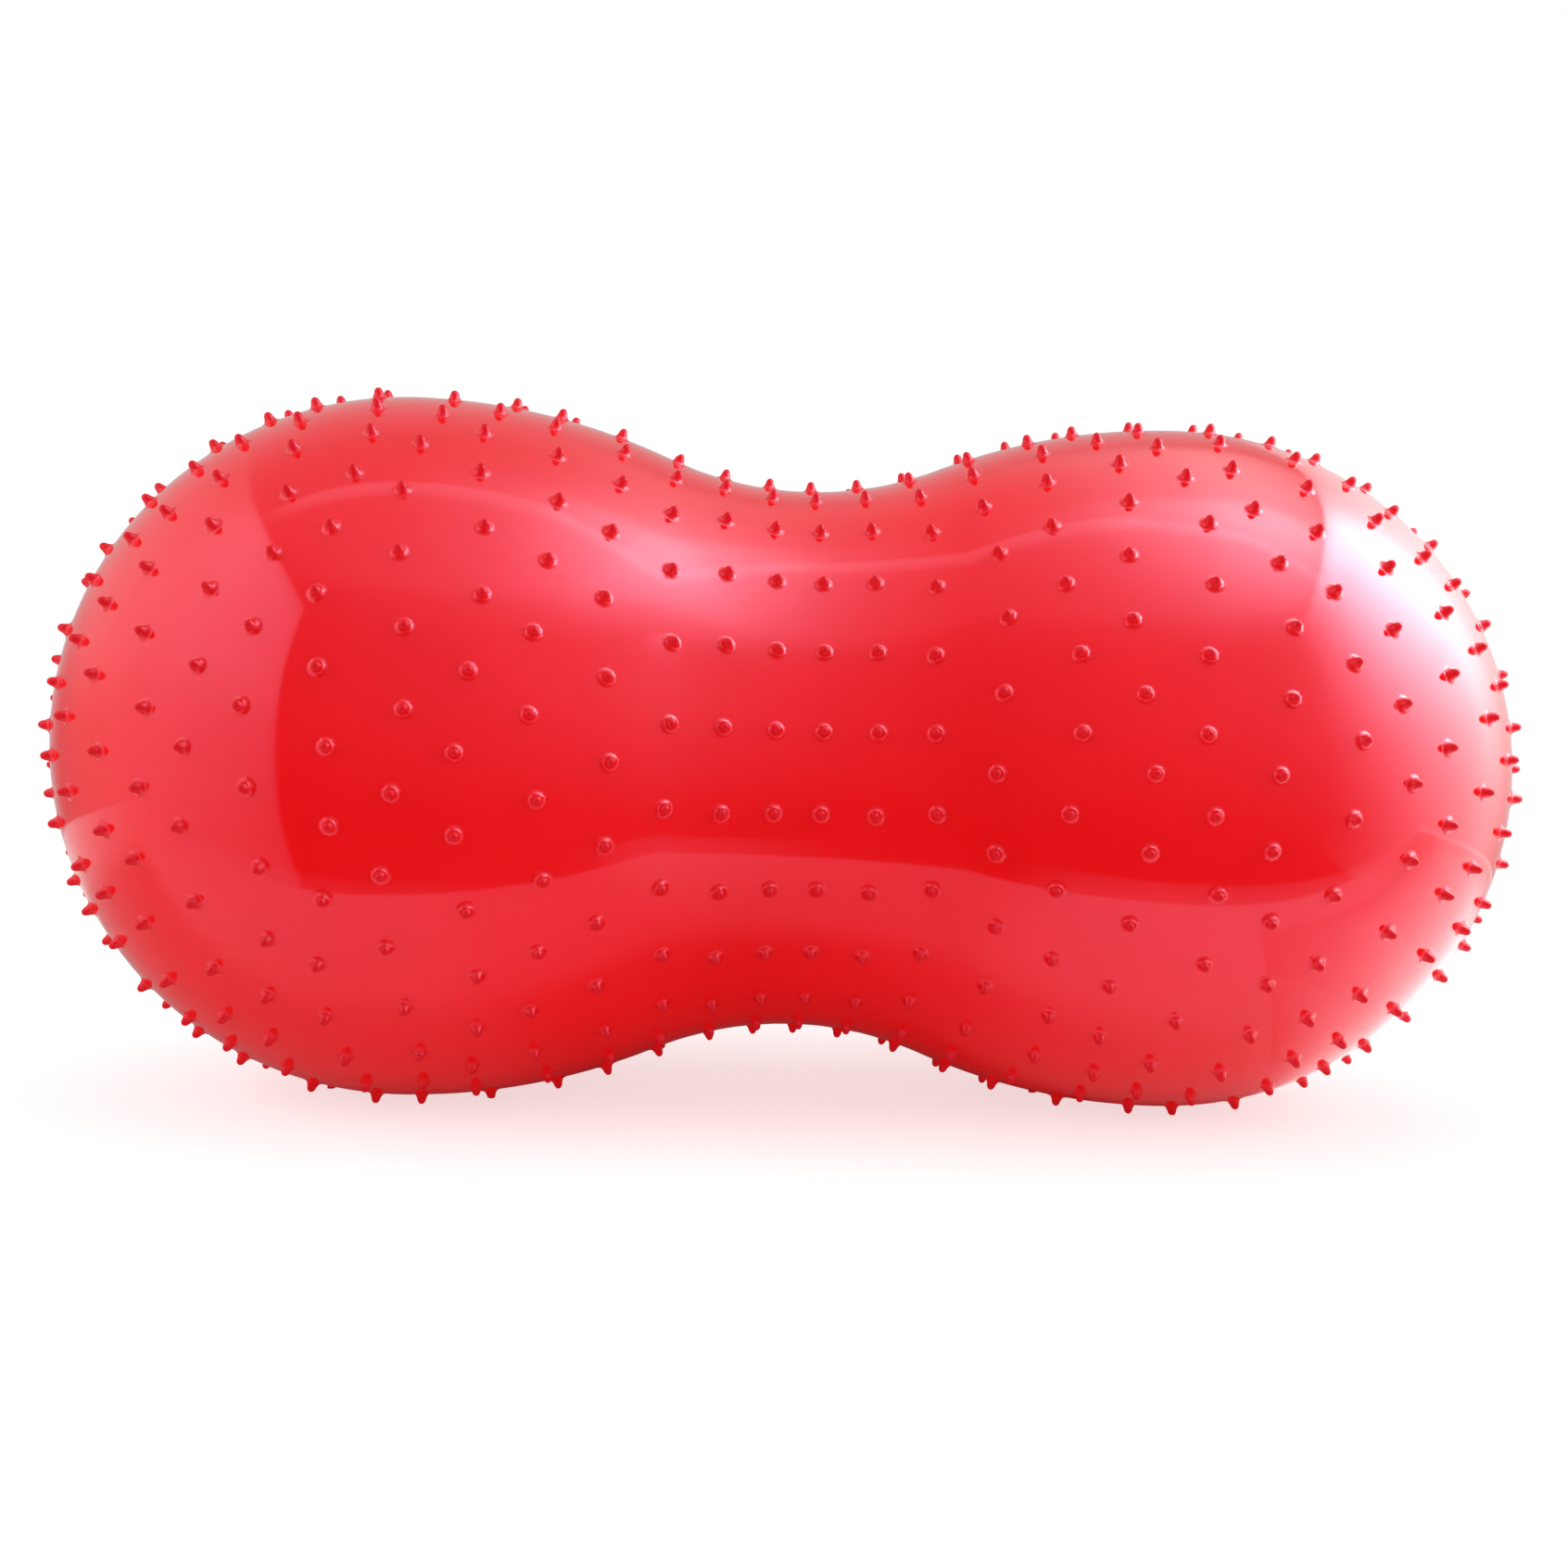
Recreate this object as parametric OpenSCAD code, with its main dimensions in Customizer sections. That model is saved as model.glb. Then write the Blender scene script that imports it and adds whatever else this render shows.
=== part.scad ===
// Peanut exercise ball: two round lobes joined by a waist, blown up hard, with small massage nubs all
// over its skin and an air plug pressed into a valve patch at the back. It lies on its two lobes.
// The long axis is X, the front is -Y, Z is up, and the floor is at Z = 0 under the middle of the ball.
// A place on the skin is given by s, the length along the skin from the middle of the waist towards the
// right end, and a, the angle around the long axis from the front upwards.

/* [Ball] */
// Length of the skin from end to end, without nubs
ball_len = 900; // [800:10:1000]
// Diameter of each lobe, without nubs
lobe_d = 432; // [400:2:470]
// Diameter of the waist, without nubs
waist_d = 338; // [300:2:360]
// Radius of the long arc that runs from a lobe's crest towards the waist
shoulder_r = 388; // [350:2:440]
// How far the soft skin and its nubs are pressed flat where the ball lies on the floor
floor_press = 2.4; // [1.8:0.1:5]

/* [Nubs] */
// Width of a nub where it grows out of the skin
nub_d = 11; // [8:0.1:14]
// Width of the tip of a nub
nub_tip_d = 5.6; // [4:0.1:8]
// Height of a nub above the skin
nub_h = 7.2; // [5:0.1:12]
// Distance from nub to nub around the waist
waist_pitch = 44.5; // [40:0.5:60]
// Distance from nub to nub around a lobe
lobe_pitch = 41; // [36:0.5:50]
// Distance between the two rings next to the middle of the waist
first_gap = 26; // [22:1:34]
// How much wider each further gap between rings is, until the lobe's gap is reached
gap_growth = 3; // [2:0.5:5]
// Distance between rings on a lobe
lobe_gap = 36; // [34:1:44]
// Angle above the horizon of the first nub of the waist rings
nub_start = 5; // [0:0.5:15]
// How far the nubs on a lobe wander off their ring
nub_wander = 6; // [0:0.5:8]
// How far the rings at the waist lie to the left of the middle of the ball
ring_shift = 9; // [0:0.5:12]

/* [Valve] */
// Width of the round patch that holds the valve hole
patch_d = 26; // [22:0.5:32]
// How far the patch stands out of the skin
patch_h = 1.2; // [0.8:0.1:2.5]
// Width of the seat that the plug's flange lies in
seat_d = 18; // [15:0.5:20]
// Depth of the seat
seat_depth = 1.8; // [1:0.1:3]
// Width of the valve hole
valve_d = 9; // [7:0.1:12]
// Depth of the valve hole below the seat
valve_depth = 22; // [18:1:40]
// Length of the plug's stem
plug_len = 15; // [10:0.5:17]
// Width of the stem at its free end
plug_end_d = 6.8; // [5:0.1:7]
// Thickness of the plug's flange
flange_t = 1.4; // [1:0.1:2]
// Gap around the plug's flange and stem
plug_gap = 0.15; // [0.05:0.05:0.4]

/* [Hidden] */
round_fn = 64;

lobe_r = lobe_d / 2;
waist_r = waist_d / 2;
lobe_x = ball_len / 2 - lobe_r;

// The shoulder arc is centred under the lobe's crest. The dip arc of the waist is centred over the
// middle of the ball, and is as large as it must be to run smoothly into the shoulder arc.
shoulder_y = lobe_r - shoulder_r;
dip_r = (pow(lobe_x, 2) + pow(waist_r - shoulder_y, 2) - pow(shoulder_r, 2))
    / (2 * (shoulder_r - waist_r + shoulder_y));
dip_y = waist_r + dip_r;
turn = atan2(lobe_x, dip_y - shoulder_y);

// Lengths along the skin from the middle of the waist to the end of each arc
dip_s = dip_r * turn * PI / 180;
crest_s = dip_s + shoulder_r * turn * PI / 180;
pole_s = crest_s + lobe_r * PI / 2;

axis_z = lobe_r - floor_press;

// Degrees turned by an arc of a length on a radius
function degrees(arc, r) = arc / r * 180 / PI;

// Place on the skin's outline: [x, distance from the axis, lean of the skin's normal towards the end]
function dip_at(s) = let (a = degrees(s, dip_r))
    [dip_r * sin(a), dip_y - dip_r * cos(a), -a];
function shoulder_at(s) = let (a = degrees(crest_s - s, shoulder_r))
    [lobe_x - shoulder_r * sin(a), shoulder_y + shoulder_r * cos(a), -a];
function end_at(s) = let (a = degrees(s - crest_s, lobe_r))
    [lobe_x + lobe_r * sin(a), lobe_r * cos(a), a];
function right_at(s) = s < dip_s ? dip_at(s) : s < crest_s ? shoulder_at(s) : end_at(s);
function outline_at(s) = let (p = right_at(abs(s)))
    s < 0 ? [-p[0], p[1], -p[2]] : p;

// Point at a height h over the skin, in the ball's own frame with the long axis through zero
function skin_point(s, a, h = 0) = let (p = outline_at(s), r = p[1] + h * cos(p[2]))
    [p[0] + h * sin(p[2]), -r * cos(a), r * sin(a)];

// How far the skin at s has left the waist for the lobe, from 0 to 1
function lobe_share(s) =
    abs(s) > crest_s ? 1 : (outline_at(s)[1] - waist_r) / (lobe_r - waist_r);

// The valve patch sits on the crest of the left lobe, at the back, and nubs keep clear of it.
valve_point = [-lobe_x, lobe_r, 0];
valve_clear = (patch_d + nub_d) / 2 + 1;

// Rings: the gaps widen from the waist, and the rest of the way to the pole is shared evenly.
widening = floor((lobe_gap - first_gap) / gap_growth) + 1;
function widening_s(i) =
    first_gap / 2 + i * first_gap + gap_growth * i * (i + 1) / 2;
even_s = widening_s(widening - 1);
even_count = round((pole_s - even_s) / lobe_gap);
even_gap = (pole_s - even_s) / even_count;
half_rings = [for (i = [0 : widening - 1]) widening_s(i),
    for (i = [1 : even_count - 1]) even_s + i * even_gap];
half_count = len(half_rings);

// Number of nubs in a ring, always even, and the place [s, a] of each. Beyond the two rings next to the
// middle, every second ring is turned by half a step. On a lobe each nub stands a little off its ring.
// The shift of the rings to the left fades out towards the ends.
function nub_count(s) =
    let (pitch = waist_pitch + (lobe_pitch - waist_pitch) * lobe_share(s))
    2 * round(PI * outline_at(s)[1] / pitch);
function wander(i, a) = nub_wander * lobe_share(half_rings[i]) * sin(6 * a + 97 * i);
function shifted(s) = s - ring_shift * (1 - abs(s) / pole_s);
function ring_nubs(side, i) =
    let (n = nub_count(half_rings[i]), turned = i > 1 ? i % 2 / 2 : 0)
    [for (k = [0 : n - 1])
        let (a = nub_start + (k + turned) * 360 / n, s = shifted(side * (half_rings[i] + wander(i, a))))
        if (norm(skin_point(s, a) - valve_point) > valve_clear) [s, a]];
nub_rows = [for (i = [half_count - 1 : -1 : 0]) ring_nubs(-1, i),
    for (i = [0 : half_count - 1]) ring_nubs(1, i)];
row_count = len(nub_rows);

// A nub has seven points: four corners of its root, at the lesser angle, towards the right end, at the
// greater angle and towards the left end, and three around its tip. The nub on a pole has the same
// points around the long axis.
nub_r = nub_d / 2;
tip_r = nub_tip_d / 2;
function nub_points(s, a) =
    let (r = outline_at(s)[1], da = degrees(nub_r, r))
    [skin_point(s, a - da), skin_point(s + nub_r, a),
        skin_point(s, a + da), skin_point(s - nub_r, a),
        for (way = [90, -30, -150])
            skin_point(s + tip_r * sin(way), a + degrees(tip_r * cos(way), r), nub_h)];
function round_pole(side, x, r, a) = [side * x, -r * cos(side * a), r * sin(side * a)];
function pole_points(side) = [
    for (a = [0, 90, 180, 270]) round_pole(side, ball_len / 2, nub_r, a),
    for (a = [90, 210, 330]) round_pole(side, ball_len / 2 + nub_h, tip_r, a)];
function nub_faces(i) = [
    for (f = [[0, 4, 1], [1, 4, 2], [2, 5, 3], [3, 6, 0], [4, 5, 2], [5, 6, 3], [6, 4, 0], [4, 6, 5]])
        [i + f[0], i + f[1], i + f[2]]];

// First point of each row, and of each pole's nub
function sum_to(list, n) = n == 0 ? 0 : list[n - 1] + sum_to(list, n - 1);
row_sizes = [for (row = nub_rows) len(row)];
row_starts = [for (j = [0 : row_count]) 7 * sum_to(row_sizes, j)];
pole_starts = [row_starts[row_count], row_starts[row_count] + 7];
points = [
    for (row = nub_rows, n = row) each nub_points(n[0], n[1]),
    each pole_points(-1),
    each pole_points(1)];

// The line along one side of a row of nubs, through three corners of each: [angle, point] all round.
// corner is 1 for the side that faces the right end and 3 for the other.
function row_line(j, corner) = [
    for (k = [0 : row_sizes[j] - 1])
        let (n = nub_rows[j][k], i = row_starts[j] + 7 * k, da = degrees(nub_r, outline_at(n[0])[1]))
        each [[n[1] - da, i], [n[1], i + corner], [n[1] + da, i + 2]]];
function pole_line(end) =
    [for (k = [0 : 3]) [90 * k, pole_starts[end] + (end == 0 ? (4 - k) % 4 : k)]];

// Fills the skin between two such lines with triangles. Each step of either line reaches across to the
// point of the other line beside its middle. Of two middles at one angle, the low line's comes first.
function middles(line) = [
    for (i = [0 : len(line) - 1])
        (line[i][0] + (i + 1 < len(line) ? line[i + 1][0] : line[0][0] + 360)) / 2];
function before(mids, x) = len([for (m = mids) if (m < x) 1]);
function up_to(mids, x) = len([for (m = mids) if (m <= x) 1]);
function wrapped(line, i) = line[i % len(line)][1];
function between(low, high) =
    let (low_mids = middles(low), high_mids = middles(high)) [
    for (i = [0 : len(low) - 1])
        [wrapped(low, i), wrapped(high, before(high_mids, low_mids[i])), wrapped(low, i + 1)],
    for (i = [0 : len(high) - 1])
        [wrapped(high, i), wrapped(high, i + 1), wrapped(low, up_to(low_mids, high_mids[i]))]];

faces = [
    for (j = [0 : row_count - 1], k = [0 : row_sizes[j] - 1]) each nub_faces(row_starts[j] + 7 * k),
    each nub_faces(pole_starts[0]), each nub_faces(pole_starts[1]),
    for (j = [0 : row_count - 2]) each between(row_line(j, 1), row_line(j + 1, 3)),
    each between(pole_line(0), row_line(0, 3)),
    each between(row_line(row_count - 1, 1), pole_line(1))];

// Puts what stands on Z = 0 onto the skin at the valve, outwards along the valve's axis.
module at_valve() {
    translate([0, 0, axis_z]) translate(valve_point) rotate([-90, 0, 0]) children();
}

seat_z = patch_h - seat_depth;

module blown_skin() {
    translate([0, 0, axis_z]) polyhedron(points, faces);
}

module valve_patch() {
    root = patch_d / 4;
    at_valve() translate([0, 0, -root]) cylinder(h = root + patch_h, d = patch_d, $fn = round_fn);
}

module valve_hole() {
    at_valve() {
        translate([0, 0, seat_z]) cylinder(h = 2 * seat_depth, d = seat_d, $fn = round_fn);
        translate([0, 0, seat_z - valve_depth])
            cylinder(h = valve_depth + seat_depth, d = valve_d, $fn = round_fn);
    }
}

// The ball is pressed flat where it touches the floor.
module ball() {
    color("crimson") difference() {
        intersection() {
            union() {
                blown_skin();
                valve_patch();
            }
            translate([-ball_len, -lobe_d, 0]) cube([2 * ball_len, 2 * lobe_d, 2 * lobe_d]);
        }
        valve_hole();
    }
}

// The stem tapers to its free end and the flange's rim is bevelled, in one turned outline.
module air_plug() {
    end_r = plug_end_d / 2;
    stem_r = valve_d / 2 - plug_gap;
    flange_r = seat_d / 2 - plug_gap;
    bevel = flange_t / 3;
    color("whitesmoke") at_valve() translate([0, 0, seat_z]) rotate_extrude($fn = round_fn)
        polygon([[0, -plug_len], [end_r - bevel, -plug_len], [end_r, bevel - plug_len],
            [stem_r, -plug_len / 2], [stem_r, 0], [flange_r, 0], [flange_r, flange_t - bevel],
            [flange_r - bevel, flange_t], [0, flange_t]]);
}

ball();
air_plug();
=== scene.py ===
"""Peanut exercise ball, dressed: a blown-up vinyl skin with massage nubs, its valve and its air plug.

All lengths are metres in the part's own frame: the long axis is X, the front is -Y, the floor is z = 0.
A place on the skin is given by s, the length along the skin from the middle of the waist towards the
right end, and a, the angle in degrees around the long axis from the front upwards.
"""
import math

import bpy
import numpy as np
from mathutils import Matrix, Vector


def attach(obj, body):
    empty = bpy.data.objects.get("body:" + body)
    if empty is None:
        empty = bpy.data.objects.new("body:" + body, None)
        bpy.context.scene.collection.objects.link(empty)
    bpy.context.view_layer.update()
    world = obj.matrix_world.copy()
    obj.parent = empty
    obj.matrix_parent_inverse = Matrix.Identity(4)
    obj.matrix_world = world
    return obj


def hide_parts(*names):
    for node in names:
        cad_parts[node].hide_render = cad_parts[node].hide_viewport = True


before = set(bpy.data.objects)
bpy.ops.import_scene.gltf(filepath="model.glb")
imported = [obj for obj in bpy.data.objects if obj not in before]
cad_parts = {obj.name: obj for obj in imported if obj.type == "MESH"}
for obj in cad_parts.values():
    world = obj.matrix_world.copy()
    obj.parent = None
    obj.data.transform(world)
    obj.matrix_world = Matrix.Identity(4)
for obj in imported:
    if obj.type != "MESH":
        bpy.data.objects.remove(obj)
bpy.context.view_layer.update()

# Sizes of the part, the same as in its source
BALL_LEN = 0.900
LOBE_D = 0.432
WAIST_D = 0.338
SHOULDER_R = 0.388
FLOOR_PRESS = 0.0024
NUB_D = 0.011
NUB_H = 0.0072
WAIST_PITCH = 0.0445
LOBE_PITCH = 0.041
FIRST_GAP = 0.026
GAP_GROWTH = 0.003
LOBE_GAP = 0.036
NUB_START = 5.0
NUB_WANDER = 0.006
RING_SHIFT = 0.009
PATCH_D = 0.026
PATCH_H = 0.0012
SEAT_D = 0.018
SEAT_DEPTH = 0.0018
VALVE_D = 0.009
VALVE_DEPTH = 0.022

# What follows from them
LOBE_R = LOBE_D / 2
WAIST_R = WAIST_D / 2
LOBE_X = BALL_LEN / 2 - LOBE_R
SHOULDER_Y = LOBE_R - SHOULDER_R
DIP_R = ((LOBE_X ** 2 + (WAIST_R - SHOULDER_Y) ** 2 - SHOULDER_R ** 2)
         / (2 * (SHOULDER_R - WAIST_R + SHOULDER_Y)))
DIP_Y = WAIST_R + DIP_R
TURN = math.atan2(LOBE_X, DIP_Y - SHOULDER_Y)
DIP_S = DIP_R * TURN
CREST_S = DIP_S + SHOULDER_R * TURN
POLE_S = CREST_S + LOBE_R * math.pi / 2
AXIS_Z = LOBE_R - FLOOR_PRESS

# Fineness of the skin
NUB_SIDES = 10
VALVE_SIDES = 40
CELL_R = 0.0060
VALVE_CELL_R = 0.0152
SKIN_STEP = 0.0063
# A nub's rounded tip lies a little under the point that it has in the source
NUB_TIP = NUB_H - 0.0009
# Where a nub's first side lies, in degrees around its axis
NUB_TURN = 18.0
# A ring's cells get this much more room than their size, as the line through them may slope
CELL_ROOM = 1.05
# Least width of the bare band between two rings
LEAST_BAND = 0.003
# Around the long axis, in degrees: the valve at the back, how far to each side its ring's line is held on
# it, and over how much its wider cell fades out
VALVE_A = 180.0
VALVE_HOLD = 4.0
VALVE_FADE = 7.0
# Nubs keep this far from the valve's middle
VALVE_CLEAR = (PATCH_D + NUB_D) / 2 + 0.001

# Outline of a nub from its tip to the open skin: [distance from its axis, height, outward, upward]
NUB_OUTLINE = np.array([
    [0.0014, 0.0058, 0.55, 0.84],
    [0.0023, 0.0045, 0.86, 0.51],
    [0.0029, 0.0024, 0.94, 0.34],
    [0.0039, 0.0006, 0.64, 0.77],
    [CELL_R, 0.0, 0.0, 1.0],
])
# Outline of the valve from the open skin over the patch, the seat and the hole: the same four, and how
# much of the place follows the round skin instead of the patch's flat plane
VALVE_OUTLINE = np.array([
    [VALVE_CELL_R, 0.0, 0.0, 1.0, 1.0],
    [PATCH_D / 2 + 0.0010, 0.0001, 0.35, 0.94, 1.0],
    [PATCH_D / 2 + 0.0002, 0.0006, 0.90, 0.44, 0.6],
    [PATCH_D / 2 - 0.0002, PATCH_H - 0.0003, 0.75, 0.66, 0.0],
    [PATCH_D / 2 - 0.0008, PATCH_H, 0.15, 0.99, 0.0],
    [SEAT_D / 2 + 0.0005, PATCH_H, -0.10, 0.99, 0.0],
    [SEAT_D / 2, PATCH_H - 0.0003, -0.80, 0.60, 0.0],
    [SEAT_D / 2, PATCH_H - SEAT_DEPTH + 0.0002, -0.85, 0.53, 0.0],
    [SEAT_D / 2 - 0.0003, PATCH_H - SEAT_DEPTH, -0.20, 0.98, 0.0],
    [VALVE_D / 2 + 0.0003, PATCH_H - SEAT_DEPTH, -0.20, 0.98, 0.0],
    [VALVE_D / 2, PATCH_H - SEAT_DEPTH - 0.0004, -0.95, 0.31, 0.0],
    [VALVE_D / 2, PATCH_H - SEAT_DEPTH - VALVE_DEPTH + 0.0004, -0.95, 0.31, 0.0],
    [VALVE_D / 2 - 0.0006, PATCH_H - SEAT_DEPTH - VALVE_DEPTH, -0.30, 0.95, 0.0],
])


def outline_at(s):
    """Outline of the skin: x, distance r from the axis, and lean of the normal towards the end.

    The dip is an arc of radius DIP_R about (0, DIP_Y), the shoulder an arc of SHOULDER_R about
    (LOBE_X, SHOULDER_Y) and the end an arc of LOBE_R about (LOBE_X, 0); left is the mirror of right.
    """
    s = np.asarray(s, float)
    way, side = np.abs(s), np.where(s < 0, -1.0, 1.0)
    dip, shoulder, end = way / DIP_R, (CREST_S - way) / SHOULDER_R, (way - CREST_S) / LOBE_R
    in_dip, in_end = way < DIP_S, way > CREST_S
    x = np.where(in_dip, DIP_R * np.sin(dip), LOBE_X - SHOULDER_R * np.sin(shoulder))
    r = np.where(in_dip, DIP_Y - DIP_R * np.cos(dip), SHOULDER_Y + SHOULDER_R * np.cos(shoulder))
    lean = np.where(in_dip, -dip, -shoulder)
    x = np.where(in_end, LOBE_X + LOBE_R * np.sin(end), x)
    r = np.where(in_end, LOBE_R * np.cos(end), r)
    lean = np.where(in_end, end, lean)
    return side * x, r, side * lean


def skin_frame(s, a):
    """Three unit directions at (s, a): along the skin to the right, around it upwards, and outwards.

    Outwards is (sin lean, -cos lean cos a, cos lean sin a); the other two are its turns by 90 degrees.
    """
    lean, a = outline_at(s)[2], np.radians(a)
    along = np.stack([np.cos(lean), np.sin(lean) * np.cos(a), -np.sin(lean) * np.sin(a)], -1)
    around = np.stack([np.zeros_like(lean * a), np.sin(a) + 0 * lean, np.cos(a) + 0 * lean], -1)
    outward = np.stack([np.sin(lean) + 0 * a, -np.cos(lean) * np.cos(a), np.cos(lean) * np.sin(a)], -1)
    return along, around, outward


def skin_point(s, a, h=0.0):
    """Point at height h over the skin: the outline point plus h times the outward direction."""
    x, r, lean = outline_at(s)
    a = np.radians(a)
    r = r + h * np.cos(lean)
    return np.stack([x + h * np.sin(lean), -r * np.cos(a), AXIS_Z + r * np.sin(a)], -1)


def lobe_share(s):
    """How far the skin at s has left the waist for the lobe, from 0 to 1."""
    return np.where(np.abs(s) > CREST_S, 1.0, (outline_at(s)[1] - WAIST_R) / (LOBE_R - WAIST_R))


def half_rings():
    """Distances of the rings from the middle: gaps that widen by GAP_GROWTH, then even ones to the pole."""
    count = math.floor(round((LOBE_GAP - FIRST_GAP) / GAP_GROWTH, 6)) + 1
    i = np.arange(count)
    near = FIRST_GAP / 2 + i * FIRST_GAP + GAP_GROWTH * i * (i + 1) / 2
    even = round((POLE_S - near[-1]) / LOBE_GAP)
    return np.concatenate([near, near[-1] + np.arange(1, even) * (POLE_S - near[-1]) / even])


VALVE_POINT = np.array([-LOBE_X, LOBE_R, AXIS_Z])


class Ring:
    """A ring of nubs on one side: the nubs' places, the line s(a) through them and its half width w(a)."""

    def __init__(self, side, i, base):
        self.side, self.i, self.base = side, i, base
        self.valve = side < 0 and abs(base - CREST_S) < LOBE_GAP / 2
        pitch = WAIST_PITCH + (LOBE_PITCH - WAIST_PITCH) * float(lobe_share(base))
        count = 2 * round(math.pi * float(outline_at(base)[1]) / pitch)
        shift = (i % 2) / 2 if i > 1 else 0
        a = NUB_START + (np.arange(count) + shift) * 360 / count
        s = self.wander(a)
        clear = np.linalg.norm(skin_point(s, a) - VALVE_POINT, axis=1) > VALVE_CLEAR
        self.a, self.s = a[clear] % 360, s[clear]

    def wander(self, a):
        """s = q - RING_SHIFT (1 - |q| / POLE_S), where q = side (base + wander share sin(6 a + 97 i))."""
        swing = NUB_WANDER * lobe_share(self.base) * np.sin(np.radians(6 * a + 97 * self.i))
        q = self.side * (self.base + swing)
        return q - RING_SHIFT * (1 - np.abs(q) / POLE_S)

    def line(self, a):
        """The line from nub to nub, and over the valve where the ring carries it: straight in s and a."""
        if self.valve:
            over = [VALVE_A - VALVE_HOLD, VALVE_A, VALVE_A + VALVE_HOLD]
            return np.interp(a, np.append(self.a, over), np.append(self.s, [-CREST_S] * 3), period=360)
        return np.interp(a, self.a, self.s, period=360)

    def half_width(self, a):
        """Half the width that the ring's cells take up, a little more than a cell as the line may slope."""
        wide = np.full_like(a, CELL_ROOM * CELL_R)
        if self.valve:
            wide += (VALVE_CELL_R - CELL_R) * np.exp(-((a - VALVE_A) / VALVE_FADE) ** 2)
        return wide


class Skin:
    """Collects the points, normals, nub weights and triangles of the skin."""

    def __init__(self):
        self.points, self.normals, self.weights, self.faces, self.count = [], [], [], [], 0

    def add(self, points, normals, weight=0.0):
        """Adds points and returns their numbers, in the same shape."""
        shape = points.shape[:-1]
        total = int(np.prod(shape))
        self.points.append(points.reshape(-1, 3))
        self.normals.append(normals.reshape(-1, 3))
        self.weights.append(np.broadcast_to(weight, shape).reshape(-1))
        self.count += total
        return np.arange(self.count - total, self.count).reshape(shape)

    def quads(self, inner, outer):
        """Joins two rings of points (..., sides) by two triangles a step; outer lies farther down."""
        inner_next, outer_next = np.roll(inner, -1, -1), np.roll(outer, -1, -1)
        self.faces.append(np.stack([inner, outer, outer_next], -1).reshape(-1, 3))
        self.faces.append(np.stack([inner, outer_next, inner_next], -1).reshape(-1, 3))

    def fan(self, middle, ring):
        """Joins a point to a ring of points around it."""
        following = np.roll(ring, -1, -1)
        self.faces.append(np.stack([middle[..., None] + 0 * ring, ring, following], -1).reshape(-1, 3))

    def zip(self, low, high):
        """Fills the band between two closed lines, each (angles, numbers), with triangles.

        Each step of either line reaches across to the point of the other that lies beside its middle.
        """
        low_a, low_n = low
        high_a, high_n = high
        low_mid = (low_a + np.append(low_a[1:], low_a[0] + 360)) / 2
        high_mid = (high_a + np.append(high_a[1:], high_a[0] + 360)) / 2
        reach = high_n[np.searchsorted(high_mid, low_mid, "left") % len(high_n)]
        self.faces.append(np.stack([low_n, reach, np.roll(low_n, -1)], -1))
        reach = low_n[np.searchsorted(low_mid, high_mid, "right") % len(low_n)]
        self.faces.append(np.stack([high_n, np.roll(high_n, -1), reach], -1))


def nub_cells(skin, s, a):
    """Nubs at (s, a): the nub's outline turned round its axis, ten sides, with the skin close around it.

    A ring of radius q lies at s + q cos t + (q sin t)^2 dr/ds / 2r and at
    a + atan2(q sin t, r + q cos t dr/ds).
    Returns the numbers of the outer rings, (nub, side), with the angles a of their points.
    """
    turn = np.radians(NUB_TURN + 360 / NUB_SIDES * np.arange(NUB_SIDES))
    q, h, out, up = [NUB_OUTLINE[:, k][None, :, None] for k in range(4)]
    r, lean = [v[:, None, None] for v in outline_at(s)[1:]]
    slope = -np.sin(lean)
    c, d = q * np.cos(turn), q * np.sin(turn)
    ring_s = s[:, None, None] + c + d ** 2 * slope / (2 * r)
    ring_a = a[:, None, None] + np.degrees(np.arctan2(d, r + c * slope))
    along, around, outward = skin_frame(ring_s, ring_a)
    sideways = np.cos(turn)[:, None] * along + np.sin(turn)[:, None] * around
    normals = out[..., None] * sideways + up[..., None] * outward
    weight = np.clip(h / NUB_TIP, 0, 1) + 0 * ring_s
    rings = skin.add(skin_point(ring_s, ring_a, h), normals, weight)
    tips = skin.add(skin_point(s, a, NUB_TIP), skin_frame(s, a)[2], 1.0)
    skin.fan(tips, rings[:, 0])
    for k in range(len(NUB_OUTLINE) - 1):
        skin.quads(rings[:, k], rings[:, k + 1])
    return rings[:, -1], ring_a[:, -1]


def pole_cell(skin, side):
    """The nub on an end, turned round the long axis; returns its outer ring as a closed line."""
    a = np.arange(NUB_SIDES) * 360 / NUB_SIDES
    q, h, out, up = [NUB_OUTLINE[:, k][:, None] for k in range(4)]
    s = side * (POLE_S - q) + 0 * a
    along, _, outward = skin_frame(s, a + 0 * s)
    normals = -side * out[..., None] * along + up[..., None] * outward
    rings = skin.add(skin_point(s, a + 0 * s, h), normals, np.clip(h / NUB_TIP, 0, 1) + 0 * s)
    tip_place = np.array([[side * (BALL_LEN / 2 + NUB_TIP), 0.0, AXIS_Z]])
    tip = skin.add(tip_place, np.array([[side, 0.0, 0.0]]), 1.0)[0]
    order = rings if side < 0 else rings[:, ::-1]
    skin.fan(tip, order[0])
    for k in range(len(NUB_OUTLINE) - 1):
        skin.quads(order[k], order[k + 1])
    return a, rings[-1]


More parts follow.
